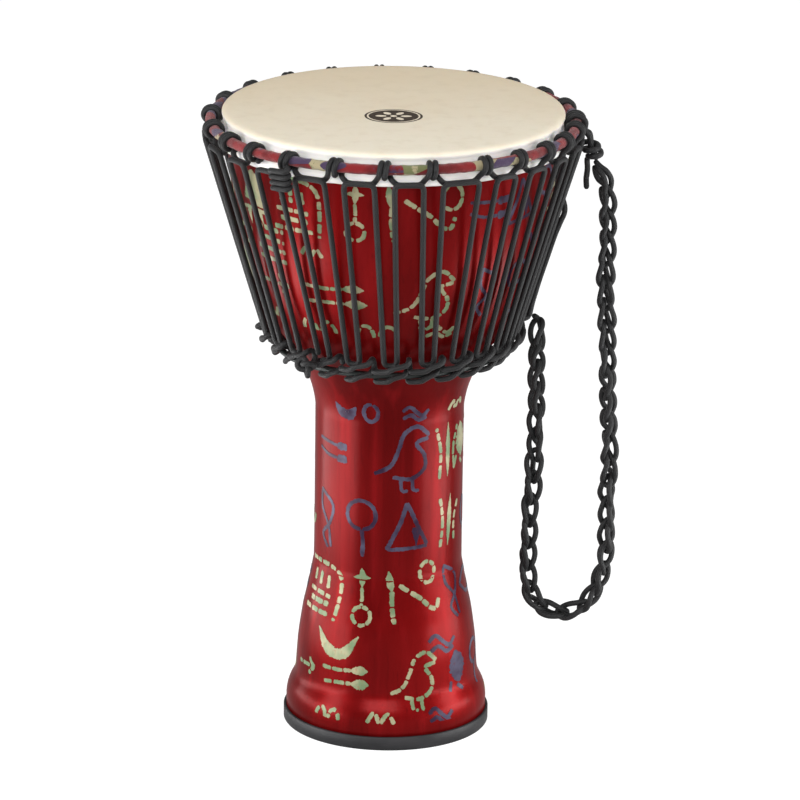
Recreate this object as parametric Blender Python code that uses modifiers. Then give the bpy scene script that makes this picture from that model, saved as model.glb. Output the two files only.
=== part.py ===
"""Rope-tuned goblet hand drum (djembe): synthetic shell, goatskin head, ringed lacing and a chained rope strap.

The scene is in metres, +Z up. The drum's axis is Z, it stands on z = 0, its front is -Y and the strap hangs
at +X. Sizes below are in millimetres. Angles are measured round the drum from its front, positive towards +X.
"""
import math

import bpy
from mathutils import Vector

MM = 0.001

# Driving dimensions, in millimetres.
ROPE = 2.65                # radius of all the black rope
SEGMENTS = 40              # facets round the drum
GAP = 0.55                 # clearance of a rope wound on a faceted ring
CROWN_R, CROWN_Z = 170.0, 588.0        # centre line of the crown ring
CLOTH_OUT, CLOTH_IN, CORE = 4.8, 3.8, 3.4     # radii of its cloth cover and of the rod inside
BASE_R, BASE_Z, BASE_ROD = 106.0, 373.0, 3.2  # centre line and rod radius of the base ring
HOOP_R, HOOP_Z, HOOP_ROD = 160.1, 574.4, 2.6  # flesh hoop inside the fold of the skin
TOP_R, TOP_Z = 176.0, 575.0            # upper runs of the tension rope
LOW_R, LOW_Z = 118.5, 386.0            # lower runs of the tension rope
TOP_HALF, LOW_HALF = 3.0, 2.9          # degrees from the middle of a pair of uprights to each of them
STRAP = 6.6                # half the width of the chained strap
STRAP_TOP, STRAP_LOW = 88.0, 94.0      # where the strap is tied on, in degrees from the front
STRAP_STEP = 20.0          # distance between the points of the strap's tube

# Where the crown knots were tied by hand, in degrees from the front, and how far each pair of uprights leans.
KNOTS = [-33.6, -17.7, -2.4, 12.3, 29.8, 42.8, 55.6, 68.0, 81.5, 94.5, 109.5, 124.5,
         139.5, 154.5, 169.5, 185.0, 200.5, 216.0, 232.0, 248.0, 265.0, 282.7, 298.3, 312.1]
LEAN = [3.0, 1.2, 2.5, 4.4, 1.4, 1.6, 1.8, 1.0, -0.5, -0.5, 1.0, 1.6,
        1.8, 1.4, 1.6, 1.8, 1.5, 1.4, 1.6, 1.2, 1.0, 1.2, 1.0, 0.8]
FEET = [knot + lean for knot, lean in zip(KNOTS, LEAN)]
NEXT_KNOTS = KNOTS[1:] + [KNOTS[0] + 360]
NEXT_FEET = FEET[1:] + [FEET[0] + 360]

# Shell, from the foot up its outside, over the bearing edge and down its inside: radius, height.
SHELL = [(94.9, 3.3), (94.9, 24), (94.0, 31), (91.8, 38), (88.6, 44.5), (86.4, 51), (85.2, 66),
         (84.0, 84), (80.0, 112), (76.8, 127), (71.2, 156), (70.0, 174), (70.0, 300), (70.6, 318),
         (75.5, 338), (84.5, 358), (93.2, 373), (105.0, 388), (122.0, 420), (136.5, 460),
         (146.0, 500), (151.8, 540), (154.6, 575), (155.2, 592), (154.9, 596), (154.2, 598),
         (152.8, 598.5), (151.0, 598), (149.8, 590), (146.2, 540), (130.6, 460), (116.4, 420),
         (98.4, 388), (79.0, 358), (69.6, 336), (65.0, 316), (65.0, 174), (71.8, 127), (79.6, 84),
         (81.2, 54), (88.8, 30), (90.0, 22), (90.0, 3.3)]
# Rubber channel that the shell's foot sits in.
FOOT = [(96.8, 0), (97.4, 0.8), (97.4, 13), (95.3, 13), (95.3, 3), (89.7, 3), (89.7, 9), (87, 9), (87, 0)]
# Goatskin: its outside from the middle of the head to the end tucked under the flesh hoop, then back inside.
SKIN = [(0, 600), (154.6, 600), (158.2, 598.9), (159.9, 596.6), (158.7, 593.4), (158.2, 590.5),
        (158.2, 584), (159.6, 580.9), (163.2, 578.2), (164.3, 575), (163.5, 571.4), (160.2, 569.3),
        (156.8, 570.6), (155.7, 574), (155.7, 580), (156.9, 580), (156.9, 574.4), (157.6, 571.8),
        (160.2, 570.5), (162.4, 572.2), (163.1, 575), (162.3, 577.3), (158.5, 580.3), (157, 584),
        (157, 590.6), (157.5, 593.6), (158.6, 596.4), (157.3, 597.9), (154.4, 598.8), (0, 598.8)]

# Route of the free strap from its crown end to its base end, chosen by hand: x, y, z.
ROUTE = [(189.3, -6.6, 555.4), (190.4, -6.6, 548), (195.0, -6.4, 537), (198.8, -6.2, 522),
         (199.2, -5.6, 500), (199.6, -5.2, 460), (200.6, -4.6, 420), (202.2, -4.0, 380),
         (204.0, -3.4, 330), (206.0, -2.6, 280), (207.6, -2.0, 230), (208.2, -1.4, 190),
         (206.0, -1.0, 160), (200.6, -0.6, 135), (188.0, 0.0, 113.5), (170.0, 0.6, 105.4),
         (150.0, 1.6, 110), (137.0, 2.6, 124), (131.4, 3.6, 150), (132.6, 4.6, 185),
         (134.6, 5.6, 225), (138.6, 6.6, 265), (139.4, 7.6, 300), (138.4, 8.6, 335),
         (138.2, 9.2, 365), (138.8, 9.6, 394)]

# One turn of the rope that is laid round the base ring, and then round the feet of the lacing: a long slanting
# strand outside and a short turn behind. Each point has what it is measured from, the millimetres to the right
# of that, the degrees round the ring's line, and how much further from that line than the rest it is.
LAY = [("gap", 2.6, -95, 0.0), ("pair", -3.5, -50, 0.0), ("pair", 0.0, -25, 0.0), ("pair", 3.5, -5, 0.0),
       ("next gap", -4.2, 20, 0.7), ("next gap", -0.9, 52, 0.7), ("next gap", 0.0, 95, 0.1),
       ("next gap", 0.6, 140, 0.1), ("next gap", 1.2, 190, 0.1), ("next gap", 1.8, 235, 0.1)]


# ---------------------------------------------------------------- helpers
def material(name, colour, roughness, metallic=0.0):
    made = bpy.data.materials.new(name)
    made.use_nodes = True
    shader = made.node_tree.nodes["Principled BSDF"]
    shader.inputs["Base Color"].default_value = (*colour, 1.0)
    shader.inputs["Roughness"].default_value = roughness
    shader.inputs["Metallic"].default_value = metallic
    made.diffuse_color = (*colour, 1.0)
    return made


def turned(name, profile, finish):
    """A line of (radius, height) turned about Z. It is closed, unless it ends on the axis."""
    verts = [(r * MM, 0.0, z * MM) for r, z in profile]
    edges = [(i, i + 1) for i in range(len(verts) - 1)]
    if profile[0][0] > 0:
        edges.append((len(verts) - 1, 0))
    mesh = bpy.data.meshes.new(name)
    mesh.from_pydata(verts, edges, [])
    mesh.materials.append(finish)
    obj = bpy.data.objects.new(name, mesh)
    parts.objects.link(obj)
    screw = obj.modifiers.new("turn", "SCREW")
    screw.steps = screw.render_steps = SEGMENTS
    screw.use_merge_vertices = True
    screw.merge_threshold = 0.00001
    screw.use_smooth_shade = True
    return obj


def rope(name, points, finish, radius=ROPE, fineness=1, closed=False, tips=1.0):
    """A rope along points, with filled ends. A finer one has more sides. tips narrows its first and last points."""
    curve = bpy.data.curves.new(name, "CURVE")
    curve.dimensions = "3D"
    curve.bevel_depth = radius * MM
    curve.bevel_resolution = fineness
    curve.use_fill_caps = True
    spline = curve.splines.new("POLY")
    spline.points.add(len(points) - 1)
    for point, place in zip(spline.points, points):
        point.co = (*(Vector(place) * MM), 1.0)
    spline.points[0].radius = spline.points[-1].radius = tips
    spline.use_cyclic_u = closed
    curve.materials.append(finish)
    obj = bpy.data.objects.new(name, curve)
    parts.objects.link(obj)
    return obj


def circle(r, z, radius, start=30.0, step=-60.0, count=6):
    """Points of a ring's section, clockwise from an angle in degrees."""
    angles = [math.radians(start + step * k) for k in range(count)]
    return [(r + radius * math.cos(a), z + radius * math.sin(a)) for a in angles]


def at(angle, r, z, along=0.0):
    """Point at an angle from the front, a radius and a height, moved along the tangent."""
    a = math.radians(angle)
    return Vector((r * math.sin(a) + along * math.cos(a), along * math.sin(a) - r * math.cos(a), z))


def slope_line(z, out=0.0):
    """Radius and height on the straight run of the tension rope at a height, moved squarely outwards."""
    slope = (TOP_R - LOW_R) / (TOP_Z - LOW_Z)
    length = math.hypot(1.0, slope)
    return LOW_R + slope * (z - LOW_Z) + out / length, z - out * slope / length


def smooth_route(route, spacing):
    """Points at even steps along a Catmull-Rom curve through the route."""
    knots = [Vector(p) for p in route]
    knots = [knots[0] * 2 - knots[1]] + knots + [knots[-1] * 2 - knots[-2]]
    dense = []
    for p0, p1, p2, p3 in zip(knots, knots[1:], knots[2:], knots[3:]):
        for k in range(24):
            t = k / 24
            dense.append(0.5 * (2 * p1 + (p2 - p0) * t + (2 * p0 - 5 * p1 + 4 * p2 - p3) * t * t
                                + (3 * p1 - p0 - 3 * p2 + p3) * t ** 3))
    dense.append(knots[-2])
    steps = [(b - a).length for a, b in zip(dense, dense[1:])]
    count = round(sum(steps) / spacing)
    even, walked = [dense[0]], 0.0
    for a, b, step in zip(dense, dense[1:], steps):
        while len(even) < count and walked + step >= sum(steps) / count * len(even):
            even.append(a.lerp(b, (sum(steps) / count * len(even) - walked) / step))
        walked += step
    return even + [dense[-1]]


# ---------------------------------------------------------------- lacing
def hitch(angle):
    """Two turns of rope round the crown ring."""
    away = (CLOTH_OUT + GAP + ROPE) / math.cos(math.radians(30))
    middle = CROWN_R * (1 + math.cos(math.pi / SEGMENTS)) / 2
    steps = 12
    wound = []
    for step in range(steps):
        a = math.radians(-30 + 60 * step)
        along = (2 * ROPE + 0.3) * (step / 6 - (steps - 1) / 12)
        wound.append(at(angle, middle + away * math.cos(a), CROWN_Z + away * math.sin(a), along))
    return wound


def crown_line():
    """One rope tied to the crown ring at each knot, and running behind the lacing from each knot to the next."""
    run = (TOP_R - 5.8, TOP_Z - 1.2)
    window = TOP_HALF + 0.6
    line = []
    for angle in KNOTS:
        line += [at(angle - window, *run), at(angle, 170.4, 578.6, -7.4)]
        line += hitch(angle)
        line.append(at(angle + window, *run))
    return line[1:-1]


def laid_round(ring_r, ring_z, away):
    """A rope laid round a ring's line, one turn to each pair of uprights, from the gap before the second pair."""
    gaps = [(foot + next_foot) / 2 for foot, next_foot in zip(FEET, NEXT_FEET)]
    line = []
    for gap, foot, next_gap in zip(gaps, NEXT_FEET, gaps[1:] + [gaps[0] + 360]):
        for place, along, turn, more in LAY:
            angle = {"gap": gap, "pair": foot, "next gap": next_gap}[place]
            a = math.radians(turn)
            line.append(at(angle, ring_r + (away + more) * math.cos(a), ring_z + (away + more) * math.sin(a), along))
    return line


def base_line():
    """One rope, first laid round the base ring and then round the feet of the lacing."""
    return laid_round(BASE_R, BASE_Z, 6.6)[:-4] + laid_round(LOW_R, LOW_Z, 5.9)[:-1]


def turn_low(angle, side):
    """The tension rope's corner at the base. side is the way that the run goes."""
    return [at(angle, *slope_line(LOW_Z + 4.0)), at(angle, LOW_R, LOW_Z, side * 1.2)]


def turn_top(angle, side):
    """The tension rope's corner at the crown."""
    return [at(angle, *slope_line(TOP_Z - 4.0)), at(angle, TOP_R, TOP_Z, side * 1.2)]


def tension_line():
    """One length of rope, up and down between the rings, from the left foot of the first pair and back to it."""
    line = [at(FEET[0] - LOW_HALF, LOW_R, LOW_Z, 4.0)]
    for i, (foot, knot, next_knot) in enumerate(zip(FEET, KNOTS, NEXT_KNOTS)):
        if i > 0:
            line += turn_low(foot - LOW_HALF, 1)
        line += turn_low(foot + LOW_HALF, -1)[::-1]
        line += turn_top(knot + TOP_HALF, 1)
        line += turn_top(next_knot - TOP_HALF, -1)[::-1]
    line.append(at(NEXT_FEET[-1] - LOW_HALF, *slope_line(LOW_Z + 7.0)))
    return line


def band(angle, heights, half, middle=slope_line, away=6.25):
    """A rope wound in level turns round two strands that stand half to each side of an angle."""
    line = []
    for i, z in enumerate(heights):
        drop = heights[i + 1] - z if i < len(heights) - 1 else -5.7
        for k in range(10):
            side = 1 if k < 5 else -1
            a = math.radians(45 * (k if k < 5 else k - 1) + 180)
            r, level = middle(z + drop * k / 10)
            line.append(at(angle, r + away * math.cos(a), level, side * half - away * math.sin(a)))
    return line


def knot_line(z):
    """Radius and height on the middle of the starting knot: it hangs in front of a crown knot, leaning in."""
    return 187.8 - (585.0 - z) * 0.25, z


def leg_line(z):
    """Radius and height on the two legs of the strap's upper hitch: they spread outwards below their bend."""
    return 184.2 + max((566.0 - z) * 0.556, (566.0 - z) * 0.167), z


def end_knot_line():
    """An overhand knot drawn up tight: a trefoil lying on the outside of the lacing."""
    size, depth = 2.75, 3.1
    line = []
    for k in range(28):
        t = 2 * math.pi * k / 28
        across = size * (math.sin(t) + 2 * math.sin(2 * t))
        rise = size * (math.cos(t) - 2 * math.cos(2 * t))
        r, z = slope_line(LOW_Z - 1.0 + rise, 14.4 - depth * math.sin(3 * t))
        line.append(at(-36.2, r, z, across))
    return line


# ---------------------------------------------------------------- build
for old in list(bpy.data.objects):
    bpy.data.objects.remove(old, do_unlink=True)
parts = bpy.data.collections.new("djembe")
bpy.context.scene.collection.children.link(parts)

lacquer = material("red_lacquered_shell", (0.33, 0.012, 0.016), 0.28)
rubber = material("black_rubber", (0.03, 0.03, 0.033), 0.62)
goatskin = material("goatskin", (0.80, 0.70, 0.55), 0.55)
steel = material("steel_rod", (0.42, 0.42, 0.43), 0.35, 1.0)
cloth = material("printed_cloth", (0.42, 0.03, 0.04), 0.85)
coated = material("black_coated_steel", (0.02, 0.02, 0.022), 0.5)
black = material("black_rope", (0.014, 0.014, 0.015), 0.72)

# Turned pieces. A profile runs down its outer side.
turned("shell", SHELL[::-1], lacquer)
turned("foot_ring", FOOT[::-1], rubber)
turned("skin_head", SKIN, goatskin)
turned("flesh_hoop", circle(HOOP_R, HOOP_Z, HOOP_ROD), steel)
turned("crown_ring_core", circle(CROWN_R, CROWN_Z, CORE), steel)
cover_outside = circle(CROWN_R, CROWN_Z, CLOTH_OUT, 150.0)
cover_inside = circle(CROWN_R, CROWN_Z, CLOTH_IN, -150.0, 60.0)
turned("crown_ring_cloth", cover_outside + cover_inside, cloth)
turned("base_ring", circle(BASE_R, BASE_Z, BASE_ROD), coated)

# Lacing.
rope("crown_cradle", crown_line(), black)
rope("base_cradle", base_line(), black)
rope("tension_rope", tension_line(), black)
rope("start_knot", band(KNOTS[0] + 0.2, [585.0, 579.2, 573.4, 567.6], 6.5, knot_line, 2.9), black)
rope("end_knot", end_knot_line(), black, closed=True)
spare = [(517, 0.6), (511, 4.8), (505, 6.2), (497, 5.0), (485, 4.0), (440, 3.8), (418, 4.4), (406, 5.6)]
rope("spare_rope", [at(86.6, *slope_line(z, out)) for z, out in spare], black)

# Strap: its two hitches, the knot under the upper one, two tails and the free chained rope.
bight = [(188.6, 557.8, -3.0), (187.2, 560.6, -3.0), (184.2, 566.0, -3.0), (182.3, 577.4, -3.0),
         (178.1, 583.6, -3.0), (178.1, 592.4, -2.4), (170.0, 597.1, -1.4), (162.0, 592.6, -0.4),
         (162.0, 583.6, 0.8), (170.0, 579.8, 2.2), (176.2, 581.0, 3.0), (181.6, 580.4, 3.2),
         (183.3, 575.0, 3.1), (184.2, 566.0, 3.0), (187.2, 560.6, 3.0), (188.6, 557.8, 3.0)]
rope("strap_top_hitch", [at(STRAP_TOP, *place) for place in bight], black)
rope("strap_top_knot", band(STRAP_TOP, [570.4, 564.6], 3.0, leg_line, 6.8), black)
long_tail = [(180.4, 554.2, 3.4), (180.9, 545.0, 3.6), (180.0, 536.0, 3.4), (180.4, 528.0, 3.0)]
rope("strap_tail_long", [at(STRAP_TOP, *place) for place in long_tail], black)
short_tail = [(180.4, 554.2, -3.4), (181.0, 547.0, -3.8), (180.4, 540.0, -3.6)]
rope("strap_tail_short", [at(STRAP_TOP, *place) for place in short_tail], black)
rope("strap_base_hitch", band(STRAP_LOW, [408.4, 402.6], 6.4), black)
rope("carry_strap", smooth_route(ROUTE, STRAP_STEP), black, STRAP, fineness=2, tips=0.5)
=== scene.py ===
"""Look of a rope-tuned goblet hand drum (djembe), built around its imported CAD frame.

The frame is in metres, +Z up. Sizes below are in millimetres unless a comment says otherwise. Angles are in
degrees round the drum from its front (-Y), positive towards +X, as in the CAD source.
"""
import math

import bmesh
import bpy
import numpy as np
from mathutils import Matrix, Vector


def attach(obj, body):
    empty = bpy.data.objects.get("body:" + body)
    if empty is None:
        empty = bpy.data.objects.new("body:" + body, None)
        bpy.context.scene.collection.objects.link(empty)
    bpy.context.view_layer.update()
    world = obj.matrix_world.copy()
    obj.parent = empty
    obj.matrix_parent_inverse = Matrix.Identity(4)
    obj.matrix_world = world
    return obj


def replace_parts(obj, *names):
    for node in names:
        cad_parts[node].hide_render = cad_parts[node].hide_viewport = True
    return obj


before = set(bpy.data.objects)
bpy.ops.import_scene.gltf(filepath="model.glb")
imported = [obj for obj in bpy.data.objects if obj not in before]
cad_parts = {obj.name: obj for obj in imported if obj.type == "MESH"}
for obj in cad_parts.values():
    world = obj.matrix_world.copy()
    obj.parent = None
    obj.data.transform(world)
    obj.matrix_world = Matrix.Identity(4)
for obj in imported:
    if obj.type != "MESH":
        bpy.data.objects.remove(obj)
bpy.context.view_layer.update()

MM = 0.001
random = np.random.default_rng(11)

# Sizes shared with the CAD source.
ROPE = 2.65  # radius of all the black rope
ROPE_SIDES = 12
ROPE_SWELL = 0.02  # share by which the rope's thickness wanders
CROWN_R, CROWN_Z, CLOTH_OUT, CLOTH_IN = 170.0, 588.0, 4.8, 3.75
BASE_R, BASE_Z, BASE_ROD = 106.0, 373.0, 3.2
TOP_R, TOP_Z = 176.0, 575.0  # upper runs of the tension rope
LOW_R, LOW_Z = 118.5, 386.0  # lower runs of the tension rope
TOP_HALF, LOW_HALF = 3.0, 2.9  # degrees from a pair's middle to each upright
STRAP_TOP, STRAP_LOW = 88.0, 94.0  # where the strap is tied on
KNOTS = [-33.6, -17.7, -2.4, 12.3, 29.8, 42.8, 55.6, 68.0, 81.5, 94.5, 109.5, 124.5, 139.5, 154.5, 169.5,
    185.0, 200.5, 216.0, 232.0, 248.0, 265.0, 282.7, 298.3, 312.1]
LEAN = [3.0, 1.2, 2.5, 4.4, 1.4, 1.6, 1.8, 1.0, -0.5, -0.5, 1.0, 1.6, 1.8, 1.4, 1.6, 1.8, 1.5, 1.4, 1.6,
    1.2, 1.0, 1.2, 1.0, 0.8]
FEET = [knot + lean for knot, lean in zip(KNOTS, LEAN)]
NEXT_KNOTS = KNOTS[1:] + [KNOTS[0] + 360]
NEXT_FEET = FEET[1:] + [FEET[0] + 360]

SHELL_OUT = [(94.9, 3.3), (94.9, 24), (94.0, 31), (91.8, 38), (88.6, 44.5), (86.4, 51), (85.2, 66),
    (84.0, 84), (80.0, 112), (76.8, 127), (71.2, 156), (70.0, 174), (70.0, 300), (70.6, 318), (75.5, 338),
    (84.5, 358), (93.2, 373), (105.0, 388), (122.0, 420), (136.5, 460), (146.0, 500), (151.8, 540),
    (154.6, 575), (155.2, 592)]
SHELL_EDGE = [(154.9, 596), (154.2, 598), (152.8, 598.5), (151.0, 598)]
SHELL_IN = [(149.8, 590), (146.2, 540), (130.6, 460), (116.4, 420), (98.4, 388), (79.0, 358), (69.6, 336),
    (65.0, 316), (65.0, 174), (71.8, 127), (79.6, 84), (81.2, 54), (88.8, 30), (90.0, 22), (90.0, 3.3)]
FOOT = [(96.8, 0), (97.4, 0.8), (97.4, 12.2), (96.7, 13), (95.3, 13), (95.3, 3), (89.7, 3), (89.7, 9),
    (87, 9), (87, 0)]
SKIN_OUT = [(20, 600), (60, 600), (100, 600), (140, 600), (150, 599.95), (154.6, 599.7), (157.2, 599.0),
    (158.9, 597.9), (159.6, 596.4), (159.3, 594.8), (158.5, 593.2), (158.2, 590.5), (158.1, 587),
    (158.3, 584), (159.5, 581.2), (162.6, 578.6), (164.2, 576), (164.0, 573), (162.6, 570.6),
    (160.2, 569.4), (157.6, 570.3), (156.0, 572.5), (155.7, 576), (155.7, 580)]
SKIN_THICK = 1.2

ROUTE = [(189.3, -6.6, 555.4), (190.4, -6.6, 548), (195.0, -6.4, 537), (198.8, -6.2, 522),
    (199.2, -5.6, 500), (199.6, -5.2, 460), (200.6, -4.6, 420), (202.2, -4.0, 380), (204.0, -3.4, 330),
    (206.0, -2.6, 280), (207.6, -2.0, 230), (208.2, -1.4, 190), (206.0, -1.0, 160), (200.6, -0.6, 135),
    (188.0, 0.0, 113.5), (170.0, 0.6, 105.4), (150.0, 1.6, 110), (137.0, 2.6, 124), (131.4, 3.6, 150),
    (132.6, 4.6, 185), (134.6, 5.6, 225), (138.6, 6.6, 265), (139.4, 7.6, 300), (138.4, 8.6, 335),
    (138.2, 9.2, 365), (138.8, 9.6, 394)]

# One turn of the rope laid round the base ring and the feet of the lacing: a slanting strand outside, and a
# short turn behind. Each point has what it is measured from, how far to the right of that, its angle round the
# ring's line, and how much further from that line than the rest it is.
LAY = [("gap", 2.6, -95, 0.0), ("pair", -3.5, -50, 0.0), ("pair", 0.0, -25, 0.0), ("pair", 3.5, -5, 0.0),
    ("next gap", -4.2, 20, 0.7), ("next gap", -0.9, 52, 0.7), ("next gap", 0.0, 95, 0.1),
    ("next gap", 0.6, 140, 0.1), ("next gap", 1.2, 190, 0.1), ("next gap", 1.8, 235, 0.1)]


# ---- camera, light and floor
CAMERA_AT = (0, -5.92, 2.204)  # metres
PITCH, YAW, ROLL = -17.69, -0.093, -0.80  # degrees
LENS, SENSOR = 297.1, 36.0

# Azimuth, height and distance, width and height of the box, watts, and the height of its aim. In metres.
SOFTBOXES = {
    "left_box": (-66, 0.9, 1.9, 0.7, 1.5, 25, 0.42),
    "right_box": (82, 0.9, 1.9, 0.7, 1.5, 27, 0.42),
    "left_card": (-84, 0.05, 0.62, 0.9, 0.22, 4.5, 0.5),
    "right_card": (78, 0.05, 0.62, 0.6, 0.16, 2.2, 0.5),
    "top_box": (0, 2.3, 0.5, 1.8, 1.4, 17, 0.6),
    "front_box": (-6, 1.5, 2.5, 1.8, 0.9, 38, 0.45),
}
WORLD_LIGHT = 0.22
FLOOR_REACH = 40.0  # metres from the middle to each side
FLOOR_GLOW, FLOOR_GLOW_SEEN = 0.42, 0.93  # what the floor gives off to the drum, and to the camera


def place_camera():
    """A long lens from the front, a little above the drum."""
    camera = bpy.data.objects.new("camera", bpy.data.cameras.new("camera"))
    bpy.context.scene.collection.objects.link(camera)
    camera.data.sensor_width = SENSOR
    camera.data.lens = LENS
    camera.data.clip_end = 200.0
    pitch, yaw, roll = math.radians(PITCH), math.radians(YAW), math.radians(ROLL)
    turn = Matrix.Rotation(yaw, 4, "Z") @ Matrix.Rotation(math.pi / 2 + pitch, 4, "X")
    camera.matrix_world = Matrix.Translation(CAMERA_AT) @ turn @ Matrix.Rotation(-roll, 4, "Z")
    bpy.context.scene.camera = camera


def softbox(name, azimuth, height, distance, width, tall, power, aim):
    """An area light standing round the drum at an azimuth from its front, towards +X."""
    data = bpy.data.lights.new(name, "AREA")
    data.shape, data.size, data.size_y = "RECTANGLE", width, tall
    data.energy = power
    light = bpy.data.objects.new(name, data)
    a = math.radians(azimuth)
    light.location = (distance * math.sin(a), -distance * math.cos(a), height)
    look = Vector((0, 0, aim)) - light.location
    light.rotation_euler = look.to_track_quat("-Z", "Y").to_euler()
    light.visible_camera = False
    bpy.context.scene.collection.objects.link(light)


def light_studio():
    """An even white surround, and the softboxes."""
    world = bpy.data.worlds.new("studio")
    world.use_nodes = True
    world.node_tree.nodes["Background"].inputs["Color"].default_value = (1, 1, 1, 1)
    world.node_tree.nodes["Background"].inputs["Strength"].default_value = WORLD_LIGHT
    bpy.context.scene.world = world
    bpy.context.scene.view_settings.view_transform = "Standard"
    for name, facts in SOFTBOXES.items():
        softbox(name, *facts)


def lay_floor():
    """White paper that glows more for the camera than for the drum."""
    mesh = bpy.data.meshes.new("floor")
    corners = [(x * FLOOR_REACH, y * FLOOR_REACH, 0) for x, y in ((-1, -1), (1, -1), (1, 1), (-1, 1))]
    mesh.from_pydata(corners, [], [(0, 1, 2, 3)])
    floor = bpy.data.objects.new("floor", mesh)
    bpy.context.scene.collection.objects.link(floor)
    made = bpy.data.materials.new("floor_paper")
    made.use_nodes = True
    shader = made.node_tree.nodes["Principled BSDF"]
    shader.inputs["Base Color"].default_value = (0.22, 0.22, 0.22, 1)
    shader.inputs["Roughness"].default_value = 0.9
    shader.inputs["Specular IOR Level"].default_value = 0.1
    shader.inputs["Emission Color"].default_value = (1, 1, 1, 1)
    seen = made.node_tree.nodes.new("ShaderNodeLightPath")
    glow = made.node_tree.nodes.new("ShaderNodeMapRange")
    glow.inputs["To Min"].default_value = FLOOR_GLOW
    glow.inputs["To Max"].default_value = FLOOR_GLOW_SEEN
    made.node_tree.links.new(seen.outputs["Is Camera Ray"], glow.inputs["Value"])
    made.node_tree.links.new(glow.outputs["Result"], shader.inputs["Emission Strength"])
    mesh.materials.append(made)


# ---- node helpers
class Nodes:
    """Builds a material's node tree a node at a time."""

    def __init__(self, name):
        self.material = bpy.data.materials.new(name)
        self.material.use_nodes = True
        self.tree = self.material.node_tree
        self.shader = self.tree.nodes["Principled BSDF"]

    def put(self, value, socket):
        """Links or sets a socket. None leaves it as it is."""
        if isinstance(value, bpy.types.NodeSocket):
            self.tree.links.new(value, socket)
        elif value is not None:
            socket.default_value = value

    def node(self, kind, output=0, **inputs):
        made = self.tree.nodes.new("ShaderNode" + kind)
        for key, value in inputs.items():
            self.put(value, made.inputs[key.replace("_", " ")])
        return made.outputs[output]

    def math(self, operation, a, b=None):
        made = self.tree.nodes.new("ShaderNodeMath")
        made.operation = operation
        for socket, value in zip(made.inputs, (a, b)):
            self.put(value, socket)
        return made.outputs[0]

    def times(self, a, b):
        return self.math("MULTIPLY", a, b)

    def plus(self, a, b):
        return self.math("ADD", a, b)

    def scaled(self, value, by, more):
        return self.plus(self.times(value, by), more)

    def split(self, kind, value):
        """The parts of a vector (XYZ) or of a colour (Color)."""
        made = self.tree.nodes.new("ShaderNodeSeparate" + kind)
        self.put(value, made.inputs[0])
        return made.outputs

    def place(self, scale=(1, 1, 1)):
        """Object coordinates in metres, scaled."""
        where = self.node("TexCoord", 3)
        return self.node("Mapping", Vector=where, Scale=scale)

    def noise(self, scale, detail=3.0, rough=0.5, stretch=(1, 1, 1)):
        return self.node("TexNoise", Vector=self.place(stretch), Scale=scale, Detail=detail, Roughness=rough)

    def ramp(self, value, low, high, top=1.0):
        """0 below low and top above high, with soft ends."""
        result = self.node("MapRange", Value=value, From_Min=low, From_Max=high, To_Max=top)
        result.node.interpolation_type = "SMOOTHSTEP"
        return result

    def colour(self, value):
        """A colour given as three numbers gets its alpha. A socket stays as it is."""
        return (*value, 1.0) if isinstance(value, tuple) else value

    def mix(self, share, a, b):
        made = self.tree.nodes.new("ShaderNodeMix")
        made.data_type = "RGBA"
        self.put(share, made.inputs[0])
        for value, socket in ((a, made.inputs[6]), (b, made.inputs[7])):
            self.put(self.colour(value), socket)
        return made.outputs[2]

    def bump(self, height, distance, strength=1.0, normal=None):
        made = self.tree.nodes.new("ShaderNodeBump")
        made.inputs["Strength"].default_value = strength
        made.inputs["Distance"].default_value = distance
        self.put(height, made.inputs["Height"])
        self.put(normal, made.inputs["Normal"])
        return made.outputs[0]

    def finish(self, colour, roughness, normal=None, **constants):
        self.put(self.colour(colour), self.shader.inputs["Base Color"])
        self.put(roughness, self.shader.inputs["Roughness"])
        self.put(normal, self.shader.inputs["Normal"])
        for key, value in constants.items():
            self.shader.inputs[key.replace("_", " ")].default_value = value
        return self.material


def lay_axes(n):
    """The two directions of a piece's own UV map: round and along."""
    made = n.tree.nodes.new("ShaderNodeUVMap")
    made.uv_map = "lay"
    parts = n.split("XYZ", made.outputs[0])
    return parts[0], parts[1]


# ---- materials
COAT = dict(Coat_Weight=0.24, Coat_Roughness=0.22, Coat_IOR=1.3)
LACQUER = dict(Metallic=0.5, Specular_IOR_Level=0.05, Specular_Tint=(0.50, 0.05, 0.05, 1.0), **COAT)
WEAVE_TURNS = 9000.0  # radians to a metre
COLLAR_FROM, COLLAR_TO = 0.5945, 0.5986  # metres up, where the bleached fold gives way to the head


def lacquer_material():
    """Dyed red fibre under clear lacquer: dark cloudy patches and fine upright streaks."""
    n = Nodes("red_lacquer")
    cloud = n.noise(9.0, 4.0, stretch=(1, 1, 0.45))
    streak = n.noise(60.0, 3.0, stretch=(1, 1, 0.05))
    fine = n.noise(320.0, 3.0, stretch=(1, 1, 0.14))
    red = n.mix(n.ramp(cloud, 0.3, 0.7), (0.100, 0.0016, 0.0019), (0.190, 0.0038, 0.0042))
    red = n.mix(n.ramp(streak, 0.45, 0.75, 0.45), red, (0.29, 0.008, 0.010))
    red = n.mix(n.ramp(fine, 0.52, 0.8, 0.35), red, (0.055, 0.001, 0.0015))
    rough = n.scaled(cloud, 0.16, 0.30)
    bump = n.bump(streak, 0.0006, 0.35, n.bump(fine, 0.00015, 0.5))
    return n.finish(red, rough, bump, **LACQUER)


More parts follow.
